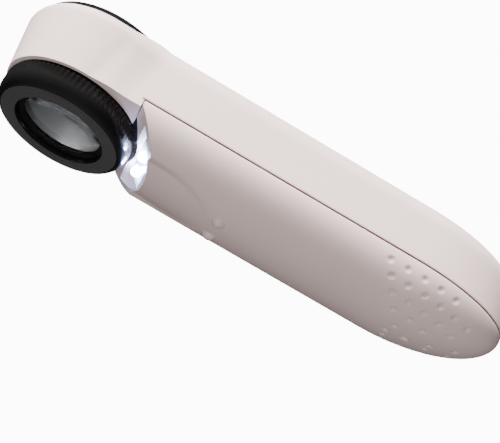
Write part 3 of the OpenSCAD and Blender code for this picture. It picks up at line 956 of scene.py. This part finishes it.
def switch_knob():
    """The ribbed knob on the deck, with the stem that goes down through the slot."""
    piece = slab("knob", (knob_low.x, knob_low.y, DECK_Z + 0.15), knob_high, 0.45)
    middle = (knob_low.x + knob_high.x) / 2
    above = knob_high.z + 0.3
    for i in range(-2, 3):
        x = middle + GROOVE_PITCH * i
        combine(piece, tube("groove", (x, -10, above), (x, 10, above), GROOVE_R, 28))
    half_x, half_y = STEM_HALF
    low = (middle - half_x, -half_y, knob_low.z)
    combine(piece, slab("stem", low, (middle + half_x, half_y, DECK_Z + 0.3), 0.15), "UNION")
    soften(piece, 0.08, 2)
    finish_piece(piece, "knob", "grey_plastic", GREY, "switch_knob")


def battery_door():
    """The lid in the deck: a rolled rear edge, a thumb scallop, grip grooves and a snap tongue."""
    low_z = DECK_Z - 2 * DOOR_ROLL
    rear = arc((BAY_END - DOOR_ROLL, DECK_Z - DOOR_ROLL), DOOR_ROLL, -90, 90, 15)
    outline = [(BAY_X, low_z)] + rear + [(BAY_X, DECK_Z)]
    verts = [(x, side * BAY_W, z) for side in (-1, 1) for x, z in outline]
    count = len(outline)
    faces = grid_faces(2, count, wrap_columns=True)
    faces += [tuple(range(count)), tuple(range(count, 2 * count))]
    piece = make_object("lid", verts, faces)
    soften(piece, 0.22)
    combine(piece, ball("scallop", (BAY_X + 7, 0, DECK_Z + 5.2), 6.0, 64))
    for k in range(5):
        x = BAY_X + 12 + 1.8 * k
        reach = 6.5 - 0.7 * k
        combine(piece, tube("grip", (x, -reach, DECK_Z + 0.12), (x, reach, DECK_Z + 0.12), 0.42, 24))
    start = BAY_X + DOOR_LIP + DOOR_GAP
    tongue = slab("tongue", (start, -3, door_low.z), (start + 0.9, 3, low_z + 0.1), 0.15)
    combine(piece, tongue, "UNION")
    shade(piece, 28)
    finish_piece(piece, "door", "white_plastic", WHITE, "battery_door")


def door_pad():
    """The foam strip that holds the cells down."""
    low, high = node_box("door_pad")
    piece = slab("foam_strip", low, high, 0.18)
    finish_piece(piece, "door", "foam", FOAM, "door_pad")


# ---------------------------------------------------------------- cells' springs

def cell_spring(node):
    """A coil spring along X, the length that the cell leaves it."""
    low, high = node_box(node)
    radius = (high.y - low.y) / 2 - SPRING_WIRE
    middle = (low + high) / 2
    steps = SPRING_TURNS * SPRING_STEPS
    points = []
    for i in range(steps + 1):
        a = 2 * math.pi * i / SPRING_STEPS
        x = low.x + SPRING_WIRE + (high.x - low.x - 2 * SPRING_WIRE) * i / steps
        points.append(Vector((x, middle.y + radius * math.cos(a), middle.z + radius * math.sin(a))))
    piece = sweep(node + "_coil", points, SPRING_WIRE)
    finish_piece(piece, "housing", "nickel", NICKEL, node)


# ---------------------------------------------------------------- nodes that keep their CAD shape

def dress(node, material):
    """Puts a material on a CAD node that keeps its shape."""
    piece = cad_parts[node]
    for place in piece.material_slots:
        place.material = material


def dress_cells():
    """The cells lie head to tail: the left one has its nub at its front end."""
    for node, nub_first in (("cell_left", True), ("cell_right", False)):
        low, high = node_box(node)
        dress(node, cell_sleeve(node + "_sleeve", low.x, high.x, nub_first))


upper_housing()
lower_housing()
eyepiece_cap()
focus_ring()
retaining_ring()
lens("objective_lens", "front_lens", 60.0, 32.0, GLASS)
lens("eye_lens", "rear_lens", 60.0, 0.0, HAZY_GLASS)
lamp("led_left")
lamp("led_right")
switch_knob()
battery_door()
door_pad()
cell_spring("spring_front")
cell_spring("spring_rear")
dress_cells()
KEPT_NODES = {
    "thread_collar": BLACK, "lens_barrel": MATT, "lens_spacer": SPACER, "led_board": CIRCUIT,
    "led_holder": REFLECTOR, "switch_lever": MATT, "slide_switch": NICKEL, "switch_board": CIRCUIT,
    "resistor": CERAMIC, "battery_tray": TRAY, "contact_positive": NICKEL, "contact_negative": NICKEL,
    "contact_bridge": NICKEL, "red_wire": RED, "black_wire": DARK_WIRE, "lamp_wires": RED,
    "housing_screws": STEEL,
}
for kept_node, kept_material in KEPT_NODES.items():
    dress(kept_node, kept_material)


# ---------------------------------------------------------------- camera, floor and light

def make_camera():
    """The camera stands below and in front of the magnifier and looks up at the head's ring."""
    data = bpy.data.cameras.new("camera")
    data.lens = LENS_MM
    data.sensor_width = SENSOR_MM
    data.clip_start = 0.01
    camera = add_object("camera", data)
    back = -CAMERA_LOOK.normalized()
    right = CAMERA_UP.cross(back).normalized()
    turn = Matrix((right, back.cross(right), back)).transposed().to_4x4()
    camera.matrix_world = Matrix.Translation(CAMERA_PLACE) @ turn
    bpy.context.scene.camera = camera


def area_light(name, place, size, power, colour):
    """A soft round light on the object, which leaves no reflection of itself on the glossy parts."""
    data = bpy.data.lights.new(name, "AREA")
    data.shape = "DISK"
    data.size = size
    data.energy = power
    data.color = colour
    light = add_object(name, data)
    light.visible_glossy = False
    look = (Vector(AIM) - Vector(place)).normalized()
    turn = look.to_track_quat("-Z", "Y").to_matrix().to_4x4()
    light.matrix_world = Matrix.Translation(Vector(place)) @ turn


def make_world():
    """A plain surround: white to the camera, pale through the lenses, dim where it lights the scene."""
    world = bpy.data.worlds.new("surround")
    world.use_nodes = True
    nodes, links = world.node_tree.nodes, world.node_tree.links
    seen = nodes["Background"]
    seen.inputs["Color"].default_value = (1, 1, 1, 1)
    seen.inputs["Strength"].default_value = SEEN_WHITE
    ambient = nodes.new("ShaderNodeBackground")
    ambient.inputs["Color"].default_value = (1, 0.985, 0.97, 1)
    ambient.inputs["Strength"].default_value = AMBIENT
    through = nodes.new("ShaderNodeBackground")
    through.inputs["Strength"].default_value = SEEN_THROUGH
    rays = nodes.new("ShaderNodeLightPath")
    clear = nodes.new("ShaderNodeMixShader")
    links.new(rays.outputs["Is Transmission Ray"], clear.inputs["Fac"])
    links.new(ambient.outputs["Background"], clear.inputs[1])
    links.new(through.outputs["Background"], clear.inputs[2])
    choice = nodes.new("ShaderNodeMixShader")
    links.new(rays.outputs["Is Camera Ray"], choice.inputs["Fac"])
    links.new(clear.outputs["Shader"], choice.inputs[1])
    links.new(seen.outputs["Background"], choice.inputs[2])
    links.new(choice.outputs["Shader"], nodes["World Output"].inputs["Surface"])
    bpy.context.scene.world = world


def lamp_glow(node):
    """A small bluish light in front of a lamp, for the light it throws on the ring and the lip."""
    low, high = node_box(node)
    centre = (low + high) / 2
    middle, out, _ = mouth_frame()
    depth = (centre - middle).dot(out)
    data = bpy.data.lights.new(node + "_light", "POINT")
    data.energy = LAMP_POWER
    data.color = (0.36, 0.52, 1.0)
    data.shadow_soft_size = LAMP_GLOW_R * MM
    light = add_object(node + "_light", data)
    light.location = (centre + out * (LAMP_GLOW_OUT - depth)) * MM


def make_floor():
    """A pale floor well below the object, which hangs in the air as if a hand held it.

    It is as white to the camera as the surround, so no horizon shows behind the object.
    """
    ends = (-FLOOR_HALF, FLOOR_HALF)
    verts = [(x, y, FLOOR_Z) for x in ends for y in ends]
    floor = make_object("floor", verts, [(0, 2, 3, 1)])
    paint = plastic("floor_pale", (0.5, 0.5, 0.5), (0.7, 0.8), 300.0, 0.05, 0.01)
    nodes, links = paint.node_tree.nodes, paint.node_tree.links
    shader = nodes["Principled BSDF"]
    shader.inputs["Emission Color"].default_value = (1.0, 1.0, 1.0, 1.0)
    rays = nodes.new("ShaderNodeLightPath")
    strength = nodes.new("ShaderNodeMath")
    strength.operation = "MULTIPLY"
    strength.inputs[1].default_value = SEEN_WHITE
    links.new(rays.outputs["Is Camera Ray"], strength.inputs[0])
    links.new(strength.outputs["Value"], shader.inputs["Emission Strength"])
    floor.data.materials.append(paint)


make_camera()
make_world()
make_floor()
lamp_glow("led_left")
lamp_glow("led_right")
for light_settings in LIGHTS:
    area_light(*light_settings)
